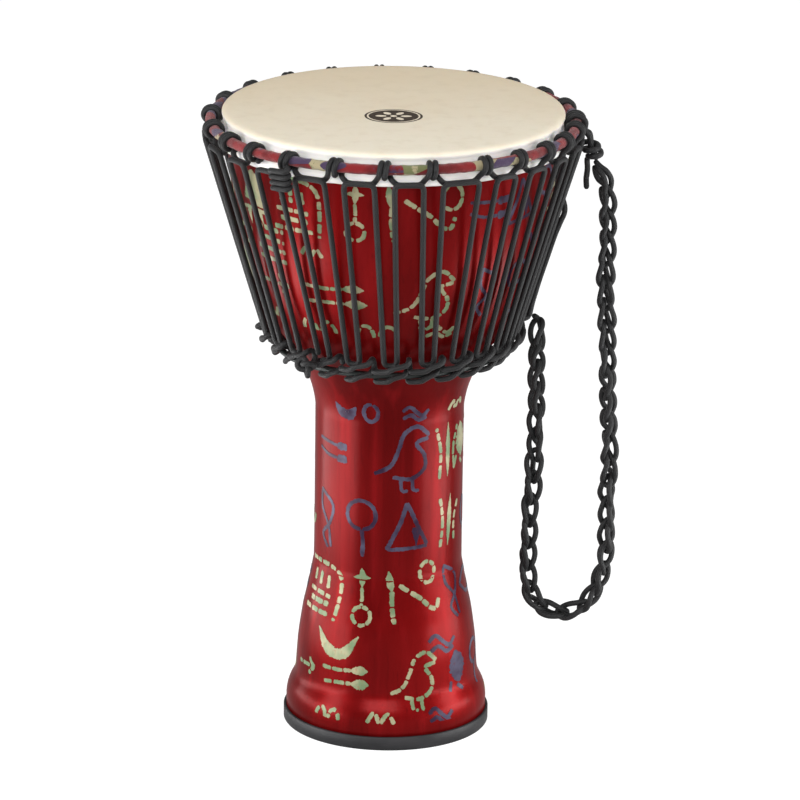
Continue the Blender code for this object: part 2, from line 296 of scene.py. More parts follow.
def inside_material():
    """Bare glass fibre inside the shell: woven strands in dark red resin."""
    n = Nodes("inside_fibre")
    strands = n.noise(240.0, 4.0, stretch=(1, 1, 0.2))
    mat = n.node("TexVoronoi", Vector=n.place((1, 1, 0.6)), Scale=190.0)
    dark = n.mix(n.ramp(strands, 0.35, 0.7), (0.028, 0.006, 0.006), (0.085, 0.016, 0.014))
    bump = n.bump(mat, 0.0008, 0.6, n.bump(strands, 0.0005, 0.6))
    return n.finish(dark, 0.62, bump)


def dye_material(name, dark, light, edge):
    """A brushed dye mark under the same lacquer: blotchy, with the ground showing through in streaks."""
    n = Nodes(name)
    patch = n.noise(38.0, 3.0)
    grain = n.noise(420.0, 4.0, stretch=(1, 1, 0.5), rough=0.65)
    colour = n.mix(n.ramp(patch, 0.38, 0.62), dark, light)
    colour = n.mix(n.ramp(grain, 0.52, 0.72, 0.5), colour, edge)
    rough = n.scaled(grain, 0.2, 0.30)
    return n.finish(colour, rough, n.bump(grain, 0.0001, 0.5), Specular_IOR_Level=0.1, Metallic=0.1, **COAT)


def skin_material():
    """Goatskin: cream, darker and tanner towards the back of the head, there partly its own tan and partly
    painted shade; bleached where it folds down over the edge.
    """
    n = Nodes("goatskin")
    _, depth, height = n.split("XYZ", n.place())
    broad = n.noise(7.0, 4.0)
    grain = n.noise(55.0, 5.0, rough=0.62)
    pores = n.node("TexVoronoi", Vector=n.place(), Scale=900.0)
    # Darker towards the back of the head: partly painted shade, partly the skin's own mottled tan.
    back = n.plus(n.times(depth, 2.6), n.times(broad, 0.55))
    colour = n.mix(n.ramp(back, -0.20, 0.62), (0.78, 0.705, 0.575), (0.70, 0.59, 0.43))
    colour = n.mix(n.ramp(grain, 0.45, 0.75, 0.30), colour, (0.60, 0.50, 0.36))
    head = n.times(n.ramp(height, COLLAR_FROM, COLLAR_TO), n.ramp(height, 0.50, 0.51))
    colour = n.mix(head, (0.97, 0.94, 0.90), colour)
    bump = n.bump(pores, 0.00012, 0.5, n.bump(grain, 0.0003, 0.35))
    rough = n.scaled(grain, 0.2, 0.40)
    return n.finish(colour, rough, bump, Subsurface_Weight=0.12, Subsurface_Radius=(0.004, 0.002, 0.001),
                    Subsurface_Scale=1.0, Specular_IOR_Level=0.35)


def rope_material():
    """Black braided cord: strands cross on two slants, with worn grey tops, painted shade in the grooves
    between them, and a little fluff.
    """
    n = Nodes("black_rope")
    across, along = lay_axes(n)
    slants = []
    for side in (1.0, -1.0):
        turn = n.plus(n.times(across, 8.0), n.times(along, 3.6 * side))
        slants.append(n.math("ABSOLUTE", n.math("SINE", n.times(turn, math.pi))))
    plait = n.math("MAXIMUM", *slants)
    fluff = n.noise(900.0, 3.0)
    wear = n.noise(45.0, 3.0)
    # Lighter on the strands' tops and darker in the grooves: the tops are wear, the dark grooves are painted
    # shade.
    colour = n.mix(n.ramp(plait, 0.55, 1.0), (0.0026, 0.0027, 0.003), (0.010, 0.010, 0.0108))
    colour = n.mix(n.ramp(wear, 0.5, 0.8, 0.5), colour, (0.020, 0.020, 0.0215))
    bump = n.bump(plait, 0.0004, 0.8, n.bump(fluff, 0.0003, 0.5))
    return n.finish(colour, 0.55, bump, Sheen_Weight=0.06, Sheen_Roughness=0.4, Specular_IOR_Level=0.35)


def cloth_material():
    """Printed cotton sewn round the crown ring: red with cream, olive and violet blots."""
    n = Nodes("printed_cloth")
    across, along = lay_axes(n)
    blots = n.node("TexVoronoi", 1, Vector=n.place((1, 1, 1.6)), Scale=34.0)
    parts = n.split("Color", blots)
    ragged = n.noise(120.0, 4.0, rough=0.6)
    pick = n.plus(parts[0], n.times(ragged, 0.5))
    colour = n.mix(n.ramp(n.noise(60.0), 0.4, 0.6), (0.115, 0.0025, 0.004), (0.20, 0.005, 0.007))
    colour = n.mix(n.ramp(pick, 1.02, 1.06), colour, (0.34, 0.29, 0.17))
    colour = n.mix(n.ramp(pick, 1.17, 1.20), colour, (0.14, 0.15, 0.06))
    other = n.plus(parts[1], n.times(ragged, 0.4))
    colour = n.mix(n.ramp(other, 0.96, 1.02), colour, (0.050, 0.028, 0.070))
    warp = n.math("SINE", n.times(across, WEAVE_TURNS))
    weft = n.math("SINE", n.times(along, WEAVE_TURNS))
    weave = n.times(warp, weft)
    bump = n.bump(weave, 0.0002, 0.5, n.bump(ragged, 0.0006, 0.5))
    return n.finish(colour, 0.82, bump, Sheen_Weight=0.25, Sheen_Roughness=0.5, Specular_IOR_Level=0.25)


def rubber_material():
    """Satin black rubber, a little dusty and scuffed."""
    n = Nodes("charcoal_rubber")
    dust = n.noise(140.0, 5.0, rough=0.65)
    scuff = n.noise(30.0, 4.0, stretch=(1, 1, 3.0))
    colour = n.mix(n.ramp(scuff, 0.42, 0.72), (0.010, 0.010, 0.0115), (0.022, 0.021, 0.023))
    rough = n.scaled(dust, 0.25, 0.42)
    return n.finish(colour, rough, n.bump(dust, 0.0002, 0.6), Specular_IOR_Level=0.4)


def metal_material(name, colour, worn, roughness, metallic):
    """Drawn rod, with small worn or chipped patches."""
    n = Nodes(name)
    drawn = n.noise(260.0, 4.0)
    chips = n.noise(90.0, 4.0, rough=0.7)
    mixed = n.mix(n.ramp(chips, 0.62, 0.74), colour, worn)
    rough = n.scaled(drawn, 0.2, roughness)
    return n.finish(mixed, rough, n.bump(drawn, 0.0001, 0.4), Metallic=metallic)


def print_material(name, colour, faded):
    """Ink printed on the goatskin, thin over its pores."""
    n = Nodes(name)
    worn = n.noise(260.0, 4.0, rough=0.7)
    return n.finish(n.mix(n.ramp(worn, 0.45, 0.75), colour, faded), 0.5, n.bump(worn, 0.0001, 0.4))


# ---- geometry helpers
def finished(name, verts, faces, finish, body, smooth=True, uvs=None):
    """A mesh piece, riding on a body."""
    mesh = bpy.data.meshes.new(name)
    mesh.from_pydata(verts, [], faces)
    if uvs is not None:
        layer = mesh.uv_layers.new(name="lay")
        layer.data.foreach_set("uv", np.asarray(uvs, np.float32).ravel())
    mesh.polygons.foreach_set("use_smooth", [smooth] * len(mesh.polygons))
    mesh.materials.append(finish)
    obj = bpy.data.objects.new(name, mesh)
    bpy.context.scene.collection.objects.link(obj)
    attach(obj, body)
    return obj


def outward(obj):
    """Makes every face of a closed piece look outwards."""
    bm = bmesh.new()
    bm.from_mesh(obj.data)
    bmesh.ops.recalc_face_normals(bm, faces=bm.faces)
    bm.to_mesh(obj.data)
    bm.free()
    return obj


def at(angle, r, z, along=0.0):
    """Point at an angle from the front, a radius and a height, moved along the tangent."""
    a = math.radians(angle)
    return Vector((r * math.sin(a) + along * math.cos(a), along * math.sin(a) - r * math.cos(a), z))


def even(points, spacing, closed=False):
    """Points at even steps along a polyline."""
    line = np.array([tuple(p) for p in points], float)
    if closed:
        line = np.vstack([line, line[:1]])
    walked = np.concatenate([[0], np.cumsum(np.linalg.norm(np.diff(line, axis=0), axis=1))])
    count = max(3, round(walked[-1] / spacing))
    steps = np.linspace(0, walked[-1], count + 1)
    if closed:
        steps = steps[:-1]
    return np.stack([np.interp(steps, walked, line[:, k]) for k in range(line.shape[1])], 1)


def curved(points, spacing, closed=False):
    """A Catmull-Rom curve through points, at even steps."""
    p = np.array([tuple(q) for q in points], float)
    p = np.vstack([p[-1:], p, p[:2]]) if closed else np.vstack([2 * p[0] - p[1], p, 2 * p[-1] - p[-2]])
    t = np.linspace(0, 1, 16, endpoint=False)[:, None]
    dense = [0.5 * (2 * b + (c - a) * t + (2 * a - 5 * b + 4 * c - d) * t ** 2
                    + (3 * b - a - 3 * c + d) * t ** 3)
             for a, b, c, d in zip(p, p[1:], p[2:], p[3:])]
    return even(np.vstack(dense + ([] if closed else [p[-2:-1]])), spacing, closed)


def softened(points, spacing=1.6, passes=5):
    """A polyline with its corners rounded, as a stiff cord takes them."""
    line = even(points, spacing)
    for _ in range(passes):
        line[1:-1] = 0.5 * line[1:-1] + 0.25 * (line[:-2] + line[2:])
    return even(line, spacing)


def frames(line, closed=False):
    """Unit directions along a line, and two square to it that turn as little as they can."""
    if closed:
        along = np.roll(line, -1, 0) - np.roll(line, 1, 0)
    else:
        along = np.gradient(line, axis=0)
    along /= np.linalg.norm(along, axis=1)[:, None]
    first = np.cross(along[0], (0.31, 0.17, 0.93))
    side = [first / np.linalg.norm(first)]
    for t in along[1:]:
        s = side[-1] - t * side[-1].dot(t)
        side.append(s / np.linalg.norm(s))
    side = np.array(side)
    return along, side, np.cross(along, side)


def ring_at(side, up, turn):
    """Unit directions round a line, at each angle of turn."""
    return np.cos(turn)[:, None] * side + np.sin(turn)[:, None] * up


def tube(name, line, finish, body="drum", closed=False):
    """A round rope along a line in millimetres, with domed ends. The UV map runs round it and along it."""
    line = np.asarray(line, float)
    along, side, up = frames(line, closed)
    twist = 0.0
    if closed:
        last = side[-1] - along[0] * side[-1].dot(along[0])
        twist = math.atan2(np.cross(last, side[0]).dot(along[0]), last.dot(side[0]))
    count = len(line)
    step = np.linalg.norm(np.diff(line, axis=0), axis=1).mean()
    sides = ROPE_SIDES
    turn = np.arange(sides) * 2 * math.pi / sides
    knobs = count // 4 + 2
    wander = np.interp(np.arange(count), np.linspace(0, count, knobs), random.uniform(-1, 1, knobs))
    size = ROPE * (1 + ROPE_SWELL * wander)
    rows = [line[i] + ring_at(side[i], up[i], turn + twist * i / count) * size[i] for i in range(count)]
    runs = [i * step for i in range(count)]
    if not closed:
        for share in (0.82, 0.45):
            push = ROPE * math.sqrt(1 - share * share)
            tip = ring_at(side[0], up[0], turn) * ROPE * share
            rows.insert(0, line[0] - along[0] * push + tip)
            tip = ring_at(side[-1], up[-1], turn + twist) * ROPE * share
            rows.append(line[-1] + along[-1] * push + tip)
            runs.insert(0, -push)
            runs.append((count - 1) * step + push)
    verts = np.vstack(rows) * MM
    faces, uvs = [], []
    total, girth = len(rows), 2 * math.pi * ROPE
    for i in range(total if closed else total - 1):
        j = (i + 1) % total
        v0 = runs[i] / girth
        v1 = (runs[i] + step if closed else runs[j]) / girth
        for k in range(sides):
            m = (k + 1) % sides
            u0, u1 = k / sides, (k + 1) / sides
            faces.append((i * sides + k, i * sides + m, j * sides + m, j * sides + k))
            uvs += [(u0, v0), (u1, v0), (u1, v1), (u0, v1)]
    if not closed:
        faces.append(tuple(range(sides))[::-1])
        faces.append(tuple((total - 1) * sides + k for k in range(sides)))
        uvs += [(0.5, 0.0)] * (2 * sides)
    return finished(name, verts.tolist(), faces, finish, body, uvs=uvs)


def lathe(name, profile, finish, segments, closed=True, shape=None):
    """A profile of (radius, height) turned about Z. One that isn't closed gets a flat face at each end.

    shape moves each point: it takes the angle in radians, the radius and the height.
    """
    profile = np.array(profile, float)
    count = len(profile)
    walked = np.concatenate([[0], np.cumsum(np.linalg.norm(np.diff(profile, axis=0), axis=1))]) * MM
    verts = []
    for s in range(segments):
        a = 2 * math.pi * s / segments
        for r, z in profile:
            if shape:
                r, z = shape(a, r, z)
            verts.append((r * math.sin(a) * MM, -r * math.cos(a) * MM, z * MM))
    wide = profile[:, 0].max() * MM
    faces, uvs = [], []
    for s in range(segments):
        t = (s + 1) % segments
        u0, u1 = 2 * math.pi * s / segments * wide, 2 * math.pi * (s + 1) / segments * wide
        for i in range(count if closed else count - 1):
            j = (i + 1) % count
            v0, v1 = walked[i], walked[j] if j else walked[i] + 0.001
            faces.append((s * count + i, s * count + j, t * count + j, t * count + i))
            uvs += [(u0, v0), (u0, v1), (u1, v1), (u1, v0)]
    if not closed:
        for i, flip in ((0, False), (count - 1, True)):
            rim = [s * count + i for s in range(segments)]
            faces.append(tuple(rim[::-1] if flip else rim))
            uvs += [(0.0, 0.0)] * segments
    return outward(finished(name, verts, faces, finish, "drum", uvs=uvs))


def circle(r, z, radius, count):
    """Points of a ring's section, clockwise."""
    angles = [2 * math.pi * -k / count for k in range(count)]
    return [(r + radius * math.cos(a), z + radius * math.sin(a)) for a in angles]


# ---- turned pieces
def make_shell():
    """The goblet: lacquered outside, bare fibre inside."""
    outside = curved(SHELL_OUT[1:], 4.0).tolist()
    inside = curved(SHELL_IN[:-2], 7.0).tolist()
    shell = lathe("shell_lacquered", ([SHELL_OUT[0]] + outside + SHELL_EDGE + inside + SHELL_IN[-2:])[::-1],
                  lacquer_material(), 240)
    shell.data.materials.append(inside_material())
    for face in shell.data.polygons:
        middle = face.center / MM
        r = math.hypot(middle.x, middle.y)
        wall_middle = np.interp(middle.z, [p[1] for p in SHELL_OUT], [p[0] for p in SHELL_OUT]) - 2.2
        face.material_index = 1 if r < wall_middle and middle.z < 590 else 0
    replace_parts(shell, "shell")


def make_skin():
    """The head with its collar and the fold under the flesh hoop, one sheet of skin all through."""
    def pleats(a, r, z):
        """The collar is drawn in a little under each crown knot."""
        if z > 596.5 or r < 157.4:
            return r, z
        pull = sum(math.exp(-(((math.degrees(a) - k + 180) % 360 - 180) / 2.6) ** 2) for k in KNOTS)
        fold = 0.16 * math.sin(61 * a) + 0.12 * math.sin(97 * a + 1.0)
        return r + fold - 0.35 * pull, z

    outside = curved(SKIN_OUT[5:], 1.2).tolist()
    top = [list(p) for p in SKIN_OUT[:5]]
    sheet = np.array(top + outside)
    run = np.gradient(sheet, axis=0)
    run /= np.linalg.norm(run, axis=1)[:, None]
    inner = sheet + np.stack([run[:, 1], -run[:, 0]], 1) * SKIN_THICK
    profile = sheet.tolist() + inner[::-1].tolist()
    skin = lathe("skin_stretched", profile, skin_material(), 240, closed=False, shape=pleats)
    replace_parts(skin, "skin_head")
    return skin


def make_rings():
    """The rubber foot, the crown ring's cloth, the base ring, and bare steel on the two hidden rods."""
    foot = lathe("foot_rubber_channel", FOOT[::-1], rubber_material(), 180)
    foot.data.set_sharp_from_angle(angle=math.radians(50))
    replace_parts(foot, "foot_ring")

    def creases(a, r, z):
        """Cloth wound on the ring: slanting creases and the ridge of its seam."""
        out = math.atan2(z - CROWN_Z, r - CROWN_R)
        slant = math.sin(74 * a + 2.0 * out) + 0.6 * math.sin(123 * a - 3.0 * out + 0.7)
        ridge = math.exp(-((out + 2.3) / 0.22) ** 2)
        more = 0.14 * slant + 0.5 * ridge
        return r + more * math.cos(out), z + more * math.sin(out)

    turns = np.radians(np.linspace(150, -205, 30))
    section = [(CROWN_R + size * math.cos(a), CROWN_Z + size * math.sin(a))
               for size, order in ((CLOTH_OUT - 0.1, turns), (CLOTH_IN, turns[::-1])) for a in order]
    cloth = lathe("crown_cloth_sleeve", section, cloth_material(), 720, shape=creases)
    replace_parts(cloth, "crown_ring_cloth")
    coated = metal_material("coated_steel", (0.012, 0.016, 0.015), (0.05, 0.055, 0.05), 0.32, 0.3)
    ring = lathe("base_ring_round", circle(BASE_R, BASE_Z, BASE_ROD, 20), coated, 200)
    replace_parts(ring, "base_ring")
    steel = metal_material("steel_rod", (0.42, 0.42, 0.43), (0.30, 0.27, 0.24), 0.25, 1.0)
    for name in ("flesh_hoop", "crown_ring_core"):
        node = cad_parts[name]
        for place in node.material_slots:
            place.material = steel
    return cloth


# ---- lacing
def slope_line(z, out=0.0):
    """Radius and height on the straight run of the tension rope at a height, moved squarely outwards."""
    slope = (TOP_R - LOW_R) / (TOP_Z - LOW_Z)
    length = math.hypot(1.0, slope)
    return LOW_R + slope * (z - LOW_Z) + out / length, z - out * slope / length


def hitch(angle):
    """Almost two turns of rope round the crown ring, pulled down into the padded cloth on top."""
    out, up = CLOTH_OUT + ROPE + 0.45, CLOTH_OUT + ROPE - 0.9
    turns, steps_a_turn, start = 11 / 6, 24, -30
    wound = []
    for step in range(round(turns * steps_a_turn) + 1):
        a = math.radians(start + 360 // steps_a_turn * step)
        along = (2 * ROPE + 0.1) * (step / steps_a_turn - turns / 2)
        rise = up if math.sin(a) > 0 else out
        wound.append(at(angle, CROWN_R + out * math.cos(a), CROWN_Z + rise * math.sin(a), along))
    return wound


def crown_line():
    """One rope tied to the crown ring at each knot, and running behind the lacing between them."""
    run = (TOP_R - 5.8, TOP_Z - 1.2)
    window = TOP_HALF + 0.6
    line = []
    for angle in KNOTS:
        line += [at(angle - window, *run), at(angle, 170.4, 578.6, -7.4)]
        line += hitch(angle)
        line.append(at(angle + window, *run))
    return line[1:-1]


def laid_round(ring_r, ring_z, away):
    """A rope laid round a ring's line, one turn to each pair, from the gap before the second pair."""
    gaps = [(foot + next_foot) / 2 for foot, next_foot in zip(FEET, NEXT_FEET)]
    line = []
    for gap, foot, next_gap in zip(gaps, NEXT_FEET, gaps[1:] + [gaps[0] + 360]):
        for place, along, turn, more in LAY:
            angle = {"gap": gap, "pair": foot, "next gap": next_gap}[place]
            a, off = math.radians(turn), away + more
            line.append(at(angle, ring_r + off * math.cos(a), ring_z + off * math.sin(a), along))
    return line


def base_line():
    """One rope, first laid round the base ring and then round the feet of the lacing."""
    return laid_round(BASE_R, BASE_Z, 6.3)[:-4] + laid_round(LOW_R, LOW_Z, 5.9)[:-1]


def bend(angle, side, r, z, leg):
    """The end of an upright, and where it turns into the run at that radius and height."""
    return [at(angle, *slope_line(z + leg)), at(angle, r, z, side * 1.2)]


def arc_run(line, a, b, r, z):
    """Points of a run that follows the drum round from one angle to another."""
    line += [at(a + (b - a) * k / 4, r, z) for k in range(1, 4)]


def tension_line():
    """One length of rope, up and down between the rings, from the first pair's left foot and back."""
    line = [at(FEET[0] - LOW_HALF, LOW_R, LOW_Z, 4.0)]
    for i, (foot, knot, next_knot) in enumerate(zip(FEET, KNOTS, NEXT_KNOTS)):
        if i > 0:
            line += bend(foot - LOW_HALF, 1, LOW_R, LOW_Z, 4.0)
        line += bend(foot + LOW_HALF, -1, LOW_R, LOW_Z, 4.0)[::-1]
        line += bend(knot + TOP_HALF, 1, TOP_R, TOP_Z, -4.0)
        arc_run(line, knot + TOP_HALF, next_knot - TOP_HALF, TOP_R - 0.8, TOP_Z)
        line += bend(next_knot - TOP_HALF, -1, TOP_R, TOP_Z, -4.0)[::-1]
    line.append(at(NEXT_FEET[-1] - LOW_HALF, *slope_line(LOW_Z + 7.0)))
    return line


def band(angle, heights, half, middle=slope_line, away=6.25):
    """A rope wound in level turns round two strands that stand half to each side of an angle."""
    last_drop, steps = -5.7, 20
    line = []
    for i, z in enumerate(heights):
        drop = heights[i + 1] - z if i < len(heights) - 1 else last_drop
        for k in range(steps):
            side = 1 if k < 10 else -1
            a = math.radians(20 * (k if k < 10 else k - 1) + 180)
            r, level = middle(z + drop * k / steps)
            line.append(at(angle, r + away * math.cos(a), level, side * half - away * math.sin(a)))
    return line


def knot_line(z):
    """Radius and height on the middle of the starting knot: it hangs in front of a crown knot, leaning in."""
    return 187.8 - (585.0 - z) * 0.25, z


def leg_line(z):
    """Radius and height on the two legs of the strap's upper hitch: they spread outwards below their bend."""
    return 184.2 + max((566.0 - z) * 0.556, (566.0 - z) * 0.167), z


def end_knot_line():
    """An overhand knot drawn up tight: a trefoil lying on the outside of the lacing."""
    size, depth, out, angle, steps = 2.9, 3.1, 14.4, -36.2, 72
    line = []
    for k in range(steps):
        t = 2 * math.pi * k / steps
        across = size * (math.sin(t) + 2 * math.sin(2 * t))
        rise = size * (math.cos(t) - 2 * math.cos(2 * t))
        r, z = slope_line(LOW_Z - 1.0 + rise, out - depth * math.sin(3 * t))
        line.append(at(angle, r, z, across))
    return line


def make_lacing(black):
    """All the rope of the drum but its strap."""
    start_wraps = band(KNOTS[0] + 0.2, [585.0, 579.2, 573.4, 567.6], 6.5, knot_line, 2.9)
    spare = [(517, 0.6), (511, 4.8), (505, 6.2), (497, 5.0), (485, 4.0), (440, 3.8), (418, 4.4), (406, 5.6)]
    spare_line = [at(86.6, *slope_line(z, out)) for z, out in spare]
    pieces = {
        "crown_cradle_rope": ("crown_cradle", softened(crown_line(), passes=4)),
        "base_cradle_rope": ("base_cradle", curved(base_line(), 1.7)),
        "tension_rope_run": ("tension_rope", softened(tension_line(), 2.0, 3)),
        "start_knot_wraps": ("start_knot", softened(start_wraps, passes=1)),
        "spare_rope_tail": ("spare_rope", softened(spare_line)),
    }
    for name, (node, line) in pieces.items():
        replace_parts(tube(name, line, black), node)
    knot = tube("end_knot_tied", curved(end_knot_line(), 1.4, True), black, closed=True)
    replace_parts(knot, "end_knot")


# ---- strap
def make_strap_ties(black):
    """The strap's two hitches, the knot and the tails. They stay on the drum while the strap swings."""
    bight = [(188.6, 557.8, -3.0), (187.2, 560.6, -3.0), (184.2, 566.0, -3.0), (182.3, 577.4, -3.0),
             (178.1, 583.6, -3.0), (178.1, 592.4, -2.4), (170.0, 597.1, -1.4), (162.0, 592.6, -0.4),
             (162.0, 583.6, 0.8), (170.0, 579.8, 2.2), (176.2, 581.0, 3.0), (181.6, 580.4, 3.2),
             (183.3, 575.0, 3.1), (184.2, 566.0, 3.0), (187.2, 560.6, 3.0), (188.6, 557.8, 3.0)]
    long_tail = [(180.4, 554.2, 3.4), (180.9, 545.0, 3.6), (180.0, 536.0, 3.4), (180.4, 528.0, 3.0)]
    short_tail = [(180.4, 554.2, -3.4), (181.0, 547.0, -3.8), (180.4, 540.0, -3.6)]

    def tied(points):
        return curved([at(STRAP_TOP, *p) for p in points], 1.6)

    knot = band(STRAP_TOP, [570.4, 564.6], 3.0, leg_line, 6.8)
    foot = band(STRAP_LOW, [408.4, 402.6], 6.4)
    made = {
        "strap_hitch_loop": ("strap_top_hitch", tied(bight)),
        "strap_knot_wraps": ("strap_top_knot", softened(knot, passes=2)),
        "strap_end_long": ("strap_tail_long", tied(long_tail)),
        "strap_end_short": ("strap_tail_short", tied(short_tail)),
        "strap_foot_wraps": ("strap_base_hitch", softened(foot, passes=2)),
    }
    ties = []
    for name, (node, line) in made.items():
        ties.append(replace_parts(tube(name, line, black), node))
    return ties


# One stitch of the strap, in the order that the rope takes it: steps along in stitches, then sideways and
# forwards. Two legs come up through the loop before, and the rope crosses behind.
STITCH = [(0.00, -2.2, -4.4), (0.22, -2.9, -0.6), (0.50, -3.9, 3.6), (0.90, -6.1, 3.8), (1.25, -6.3, 0.8),
    (1.52, -3.2, -1.4), (1.62, 0.0, -2.2), (1.52, 3.2, -1.4), (1.25, 6.3, 0.8), (0.90, 6.1, 3.8),
    (0.50, 3.9, 3.6), (0.22, 2.9, -0.6), (0.12, 1.6, -3.8), (0.45, 0.6, -6.6), (0.80, -1.0, -6.4)]
STITCH_PITCH = 21.6  # before it is stretched to a whole number of stitches
STRAP_START, STRAP_ENDS = 4.0, 14.0  # plain rope before the first stitch, and at both ends together
STITCH_FORWARD = 1.2
STRAP_END = (134.8, 9.3, 397.4)


def make_strap(black):
    """The chain of stitches along the strap's route. It twists a little as it hangs."""
    centre = curved(ROUTE, 2.0)
    length = np.linalg.norm(np.diff(centre, axis=0), axis=1).sum()
    walked = np.linspace(0, length, len(centre))
    along = np.gradient(centre, axis=0)
    along /= np.linalg.norm(along, axis=1)[:, None]
    front = np.array((0.0, -1.0, 0.0))
    stitches = int((length - STRAP_ENDS) / STITCH_PITCH)
    pitch = (length - STRAP_ENDS) / stitches
    line = []
    for k in range(stitches):
        lean, shift = random.uniform(-0.35, 0.35), random.uniform(-0.5, 0.5)
        plump = random.uniform(0.9, 1.08)
        for step, side, depth in STITCH:
            s = min((k + step) * pitch + STRAP_START, length)
            here = np.array([np.interp(s, walked, centre[:, i]) for i in range(3)])
            t = np.array([np.interp(s, walked, along[:, i]) for i in range(3)])
            t /= np.linalg.norm(t)
            f = front - t * front.dot(t)
            f /= np.linalg.norm(f)
            w = np.cross(t, f)
            turn = 0.9 * math.sin(s / 95.0) + 0.5 * math.sin(s / 37.0 + 1.0) + lean
            across = math.cos(turn) * w + math.sin(turn) * f
            facing = math.cos(turn) * f - math.sin(turn) * w
            line.append(here + across * (side * plump + shift) + facing * (depth + STITCH_FORWARD))
    line += [centre[-1], STRAP_END]
    strap = tube("strap_chain", softened(curved(line, 1.5), 1.5, 2), black, "strap")
    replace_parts(strap, "carry_strap")


# ---- painted marks
DYE_OUT, DYE_IN = 0.22, -0.35  # the dye's face and back, measured out from the shell's surface
DASH_POINTS, DASH_GAP = (5, 12), (0, 2)  # how many points a dash takes and how many are left out after it
POINT_STEP = 1.3
MARK_SCALE = 1.1


class Paint:
    """Collects thin closed dabs of dye lying on the shell, and makes one piece of them."""

    def __init__(self):
        line = curved(SHELL_OUT[1:], 2.0)
        self.r, self.z = line[:, 0], line[:, 1]
        self.run = np.concatenate([[0], np.cumsum(np.linalg.norm(np.diff(line, axis=0), axis=1))])
        slope = np.gradient(line, axis=0)
        slope /= np.linalg.norm(slope, axis=1)[:, None]
        self.out_r, self.out_z = slope[:, 1], -slope[:, 0]
        self.verts, self.faces = [], []

    def on_shell(self, spot, across, up, out):
        """A point of a mark. spot is its angle and height, and across and up follow the surface."""
        run = np.interp(spot[1], self.z, self.run) + up
        r, z = np.interp(run, self.run, self.r), np.interp(run, self.run, self.z)
        a = math.radians(spot[0]) + across / r
        r_out = r + out * np.interp(run, self.run, self.out_r)
        z_out = z + out * np.interp(run, self.run, self.out_z)
        return (r_out * math.sin(a) * MM, -r_out * math.cos(a) * MM, z_out * MM)

    def dab(self, spot, line, widths):
        """One closed slab along a line, with its own width at each point."""
        columns = max(2, math.ceil(max(widths) / 3.0) + 1)
        along = np.gradient(line, axis=0)
        along /= np.linalg.norm(along, axis=1)[:, None] + 1e-9
        first = len(self.verts)
        for out in (DYE_OUT, DYE_IN):
            for (x, y), (tx, ty), wide in zip(line, along, widths):
                for c in range(columns):
                    aside = (c / (columns - 1) - 0.5) * wide
                    self.verts.append(self.on_shell(spot, x - ty * aside, y + tx * aside, out))
        rows, layer = len(line), len(line) * columns
        for i in range(rows - 1):
            for c in range(columns - 1):
                q = first + i * columns + c
                self.faces.append((q, q + columns, q + columns + 1, q + 1))
                q += layer
                self.faces.append((q, q + 1, q + columns + 1, q + columns))
        rim = [first + c for c in range(columns)]
        rim += [first + i * columns + columns - 1 for i in range(1, rows)]
        rim += [first + (rows - 1) * columns + c for c in range(columns - 2, -1, -1)]
        rim += [first + i * columns for i in range(rows - 2, 0, -1)]
        for p, q in zip(rim, rim[1:] + rim[:1]):
            self.faces.append((p, q, q + layer, p + layer))

    def stroke(self, spot, points, width, dashed):
        """A brush stroke through points. A dashed one lifts the brush every centimetre or so."""
        line = curved(points, POINT_STEP) if len(points) > 2 else even(points, POINT_STEP)
        starts = [(0, len(line))]
        if dashed:
            starts, here = [], 0
            while here < len(line) - 2:
                count = int(random.integers(*DASH_POINTS))
                starts.append((here, min(here + count + 1, len(line))))
                here += count + 1 + int(random.integers(*DASH_GAP))
        base = width
        if callable(width):
            base = np.array([width(share) for share in np.linspace(0, 1, len(line))])
        for a, b in starts:
            part = line[a:b]
            if len(part) < 3:
                continue
            share = np.linspace(0, 1, len(part))
            ends = np.clip(np.minimum(share, 1 - share) * len(part) / 1.1, 0, 1) ** 0.5
            full = base[a:b] if callable(width) else base
            wide = full * (0.66 + 0.34 * ends) * random.uniform(0.84, 1.14, len(part))
            self.dab(spot, part + random.uniform(-0.22, 0.22, part.shape), np.maximum(wide, 0.5))

    def made(self, name, finish):
        """The piece of all the dabs so far."""
        obj = finished(name, self.verts, self.faces, finish, "drum")
        outward(obj)
        obj.data.set_sharp_from_angle(angle=math.radians(40))
        return obj


def arc(x, y, wide, tall, start, end, count=12):
    """Points of an ellipse's arc between two angles in degrees."""
    turns = np.radians(np.linspace(start, end, count))
    return [(x + wide * math.cos(a), y + tall * math.sin(a)) for a in turns]


def leaf(width):
    """Width of a filled leaf along its length."""
    return lambda share: width * math.sin(math.pi * min(max(share, 0.03), 0.97)) ** 0.75


def wedge(width):
    """Width of a stroke that narrows to its end."""
    return lambda share: max(0.8, width * (1 - share))


def dome(width):
    """Width of a stroke that fills a dome, from its base up."""
    return lambda share: width * math.sqrt(max(0.03, 1 - share * share))


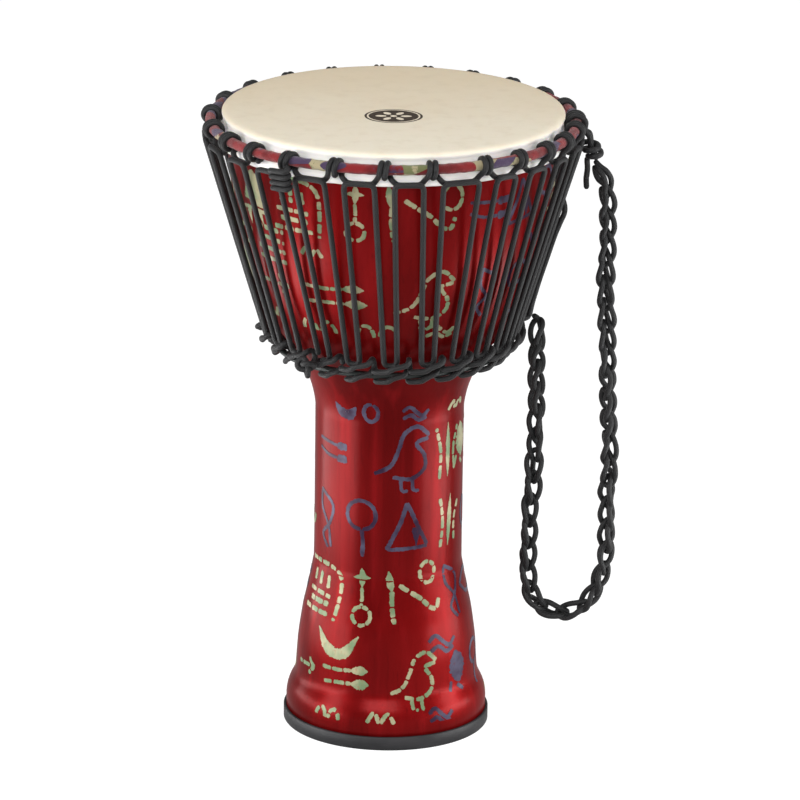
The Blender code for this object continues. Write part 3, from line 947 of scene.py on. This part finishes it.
# Plain brush figures, drawn about their middles in millimetres: a list of strokes, each its points and width.
FIGURES = {
    "dome": [([(0, -9), (1, 6), (0, 20)], dome(32)), ([(-17, -15), (0, -14), (16, -15)], 3.8),
        ([(-9, -16), (-6, -29)], wedge(9)), ([(8, -15), (13, -27)], wedge(7))],
    "key": [([(0, 27), (0.5, 18), (0, 9)], leaf(7)), ([(-8, 18), (0, 18.5), (8, 18)], leaf(5)),
        ([(0, 9), (0.4, 0), (0, -8)], 3.4), (arc(0, -17, 8.5, 8.5, 95, 445), 3.8)],
    "spindle": [([(-1, 27), (0, 18), (2, 6)], leaf(7.5)), ([(2, 7), (2, -8), (4, -24)], 4.8)],
    "hook": [([(-20, 14), (-8, 6), (4, -2), (14, -12), (22, -14), (26, -4)], 4.4)],
    "ring": [(arc(0, 0, 9, 12, 80, 430), 3.8)],
    "egg": [(arc(0, 0, 8, 14, 80, 430), 4.2), ([(0, -15), (0, -20)], 3.6)],
    "bird": [([(25, 17), (14, 26), (2, 20), (-3, 6), (-10, -8), (-24, -15)], 4.0),
        ([(24, 15), (13, 11), (20, 0), (20, -12), (8, -20), (-8, -18)], 4.0),
        ([(-1, -20), (0, -30), (5, -31)], 3.4), ([(9, -20), (10, -30), (15, -31)], 3.4)],
    "spoons": [([(-26, 7), (-8, 6), (8, 7)], 3.8), ([(8, 7), (18, 7.5), (26, 7)], leaf(9)),
        ([(-24, -8), (-8, -7), (8, -7)], 3.8), ([(8, -7), (18, -7), (27, -7)], leaf(10))],
    "chest": [([(-26, 22), (-8, 23), (10, 22), (22, 14), (24, -4), (22, -26)], 4.4),
        ([(-14, 14), (-14, 2)], 4.4), ([(-4, 14), (-4, 2)], 4.6), ([(7, 13), (8, 1)], 4.6),
        ([(-20, -5), (0, -5), (13, -6)], 4.2), ([(-16, -13), (0, -13), (12, -13)], 5.0),
        ([(-24, -22), (0, -22), (16, -22)], 4.4)],
    "seed": [([(-2, 26), (0, 6), (2, -16)], leaf(22)), ([(-2, -18), (8, -26)], 4.0),
        ([(-12, -12), (-16, -24)], 4.0)],
    "boat": [(arc(0, 8, 24, 20, 190, 350), 4.2), ([(-24, 6), (0, 7), (24, 6)], 4.4)],
    "moon": [([(-20, 10), (-8, -6), (8, -9), (22, 8)], leaf(11))],
    "zigzag": [([(-22, -6), (-12, 8), (-4, -6)], 4.0), ([(-2, -6), (8, 8), (18, -6)], 4.0)],
    "arches": [(arc(-12, -8, 9, 15, 0, 180), 4.0), (arc(12, -8, 9, 15, 0, 180), 4.0)],
    "arrow": [([(-20, 0), (0, 0), (18, 0)], 4.0), ([(18, 0), (10, 6), (8, 12)], 4.0),
        ([(18, 0), (10, -6), (7, -11)], 4.0)],
    "tent": [([(-16, -20), (-6, 2), (0, 22)], 4.2), ([(0, 22), (10, 2), (20, -16)], 4.0),
        ([(-15, -20), (0, -19), (20, -17)], 3.6), ([(9, 0), (10, -18)], wedge(10))],
    "stem": [(arc(0, 10, 13, 13, -85, 265), 4.0), ([(0, -3), (1, -14), (0, -27)], 4.0)],
    "prongs": [([(-22, 8), (-6, 6), (6, 5)], 3.2), ([(6, 5), (18, 5)], 7.5),
        ([(-22, -2), (-8, -7), (6, -8)], 3.2), ([(6, -8), (18, -8)], 7.5)],
    "twist": [([(-9, 26), (8, 14), (4, -4), (-6, -16), (2, -28)], 3.6),
        ([(-9, 24), (-8, 8), (2, -6), (6, -26)], 3.4)],
    "wave": [([(-24, 4), (-12, 12), (0, 2), (12, -6), (24, 4)], 4.0),
        ([(-22, -10), (-8, -4), (6, -14), (20, -9)], 4.0)],
    "bars": [([(-20, 16), (0, 15), (20, 16)], 4.6), ([(-20, 5), (0, 5), (20, 4)], 4.4),
        ([(-20, -7), (0, -7), (20, -6)], 4.6), ([(-20, -18), (0, -18), (20, -17)], 4.2)],
    "fish": [([(-24, 0), (-8, 12), (12, 10), (24, 0)], 4.0),
        ([(24, 0), (12, -10), (-8, -12), (-24, 0)], 4.0), ([(24, 0), (30, 8)], 4.0),
        ([(24, 0), (30, -8)], 4.0)],
    "grass": [([(-8, -24), (-6, 0), (-10, 22)], 4.0), ([(2, -24), (3, 0), (4, 24)], leaf(6)),
        ([(12, -20), (11, 0), (18, 18)], 3.8)],
}

# Where the figures stand: height, then the angle, figure, size and dye of each. S is sage, V is violet.
S, V = "sage", "violet"
ROWS = [
    (540, [(-80, "egg", 1.0, S), (-58, "dome", 1.0, S), (-36, "chest", 1.0, S), (-13, "key", 0.95, S),
        (-1, "spindle", 1.0, S), (12, "hook", 0.95, S), (37, "prongs", 1.0, V), (51, "tent", 0.9, V),
        (68, "stem", 0.9, V), (84, "chest", 1.0, S), (104, "key", 1.0, S), (116, "spindle", 1.0, S),
        (132, "bird", 0.85, S), (150, "seed", 1.0, V), (168, "chest", 1.0, V), (188, "key", 1.0, S),
        (204, "hook", 1.0, S), (222, "tent", 1.0, S), (240, "prongs", 1.0, V), (257, "stem", 1.0, V)]),
    (556, [(21, "ring", 0.95, S)]),
    (455, [(-76, "seed", 0.8, S), (-52, "arrow", 0.9, S), (-23, "spoons", 1.05, S), (13, "bird", 1.0, S),
        (40, "twist", 0.9, V), (57, "stem", 0.9, V), (76, "bars", 0.9, V), (98, "boat", 0.9, S),
        (121, "grass", 0.9, S), (142, "fish", 0.9, S), (165, "spoons", 0.9, V), (190, "bird", 0.9, V),
        (214, "wave", 0.9, S), (236, "arches", 0.9, S), (256, "zigzag", 0.9, S)]),
    (496, [(-30, "zigzag", 0.5, S), (-50, "bars", 0.85, S), (-70, "boat", 0.8, S), (64, "zigzag", 0.6, V)]),
    (420, [(-60, "zigzag", 0.7, S), (-33, "arches", 0.75, S), (-6, "arches", 0.8, S), (22, "wave", 0.55, S),
        (70, "zigzag", 0.8, V)]),
    (282, [(-48, "prongs", 0.85, V), (10, "bird", 1.0, V), (49, "grass", 1.0, S), (72, "seed", 0.75, S),
        (108, "chest", 0.8, S), (148, "twist", 0.9, V), (182, "bird", 0.9, S), (222, "boat", 0.85, S),
        (262, "spindle", 1.0, V)]),
    (325, [(-35, "moon", 0.5, V), (-14, "ring", 0.7, V), (20, "wave", 0.5, V), (60, "zigzag", 0.5, S),
        (130, "arches", 0.6, S), (200, "zigzag", 0.6, V), (250, "ring", 0.7, V)]),
    (212, [(-55, "twist", 0.95, V), (-21, "stem", 1.0, V), (14, "tent", 1.0, V), (52, "grass", 0.95, S),
        (82, "egg", 0.9, V), (112, "spoons", 0.85, S), (150, "key", 0.95, S), (184, "stem", 0.9, V),
        (222, "tent", 0.9, V), (262, "hook", 0.9, S)]),
    (143, [(-56, "chest", 0.95, S), (-19, "key", 0.95, S), (2, "spindle", 0.9, S), (23, "hook", 0.8, S),
        (56, "twist", 0.9, V), (84, "fish", 0.8, V), (118, "bird", 0.8, V), (152, "bars", 0.8, S),
        (188, "fish", 0.8, S), (224, "seed", 0.8, S), (262, "prongs", 0.9, V)]),
    (166, [(32, "ring", 0.8, S)]),
    (97, [(-36, "moon", 1.0, S), (40, "wave", 0.6, V), (130, "zigzag", 0.7, S), (210, "moon", 0.9, S)]),
    (66, [(-62, "arrow", 0.7, S), (-28, "spoons", 0.85, S), (17, "bird", 0.88, S), (52, "seed", 0.7, V),
        (76, "stem", 0.8, V), (112, "boat", 0.8, S), (150, "key", 0.8, S), (186, "hook", 0.8, V),
        (222, "grass", 0.8, V), (262, "tent", 0.8, S)]),
    (30, [(-36, "arches", 0.55, S), (-2, "zigzag", 0.6, S), (34, "wave", 0.5, V), (96, "arches", 0.5, S),
        (170, "zigzag", 0.55, S), (240, "arches", 0.55, V)]),
]


def make_marks():
    """Every figure in its place, a little tilted. Sage strokes are dashed, except filled ones."""
    paints = {S: Paint(), V: Paint()}
    for height, row in ROWS:
        for angle, figure, size, dye in row:
            tilt = random.uniform(-0.05, 0.05)
            scale = size * MARK_SCALE
            for points, width in FIGURES[figure]:
                turned = [((x - y * tilt) * scale, (y + x * tilt) * scale) for x, y in points]
                dashed = dye == S and not callable(width)
                paints[dye].stroke((angle, height), turned, width, dashed)
    sage = dye_material("sage_dye", (0.145, 0.215, 0.115), (0.36, 0.34, 0.21), (0.30, 0.10, 0.05))
    violet = dye_material("violet_dye", (0.024, 0.010, 0.030), (0.068, 0.062, 0.102), (0.09, 0.006, 0.012))
    paints[S].made("marks_sage", sage)
    paints[V].made("marks_violet", violet)


# ---- printed badge on the head
DISC_LAYER, LEAF_LAYER = (599.85, 600.06), (600.02, 600.12)  # heights of the badge's two inks
BADGE_WIDE, BADGE_DEEP, BADGE_MIDDLE = 27.0, 24.0, -28.0  # half sizes, and its middle in Y
LEAVES, LEAF_FLAT = 6, 0.9
RIM_PARTS, RIM_IN, RIM_OUT = 60, 0.86, 0.92  # the rim line, in shares of the oval


def make_badge():
    """A plain oval badge: a dark disc with a rim line and a ring of leaves, printed on the skin."""
    ink = print_material("badge_ink", (0.030, 0.018, 0.010), (0.10, 0.07, 0.045))
    bare = print_material("badge_bare", (0.74, 0.66, 0.52), (0.60, 0.50, 0.37))

    def plate(verts, faces, outline, layer):
        first = len(verts)
        for z in layer[::-1]:
            verts += [(x * MM, (y + BADGE_MIDDLE) * MM, z * MM) for x, y in outline]
        count = len(outline)
        faces.append(tuple(first + k for k in range(count)))
        faces.append(tuple(first + count + k for k in range(count))[::-1])
        for k in range(count):
            j = (k + 1) % count
            faces.append((first + k, first + count + k, first + count + j, first + j))

    verts, faces = [], []
    plate(verts, faces, arc(0, 0, BADGE_WIDE, BADGE_DEEP, 0, 352.5, 48), DISC_LAYER)
    outward(finished("badge_disc", verts, faces, ink, "drum", smooth=False))
    verts, faces = [], []
    turns = np.radians(np.arange(0, 360, 22.5))
    one_leaf = [(6.5 + 5.2 * (1 + math.cos(a)), 3.0 * math.sin(a)) for a in turns]
    for k in range(LEAVES):
        turn = 2 * math.pi * k / LEAVES
        leaf_outline = [(x * math.cos(turn) - y * math.sin(turn),
                         (x * math.sin(turn) + y * math.cos(turn)) * LEAF_FLAT) for x, y in one_leaf]
        plate(verts, faces, leaf_outline, LEAF_LAYER)
    plate(verts, faces, arc(0, 0, 3.2, 2.9, 0, 337.5, 16), LEAF_LAYER)
    for k in range(RIM_PARTS):
        a, b = 2 * math.pi * k / RIM_PARTS, 2 * math.pi * (k + 1) / RIM_PARTS
        corners = ((RIM_IN, a), (RIM_OUT, a), (RIM_OUT, b), (RIM_IN, b))
        part = [(r * BADGE_WIDE * math.cos(t), r * BADGE_DEEP * math.sin(t)) for r, t in corners]
        plate(verts, faces, part, LEAF_LAYER)
    outward(finished("badge_leaves", verts, faces, bare, "drum", smooth=False))


# ---- build
place_camera()
light_studio()
lay_floor()
black = rope_material()
make_shell()
skin = make_skin()
cloth = make_rings()
make_lacing(black)
ties = make_strap_ties(black)
make_strap(black)
make_marks()
make_badge()
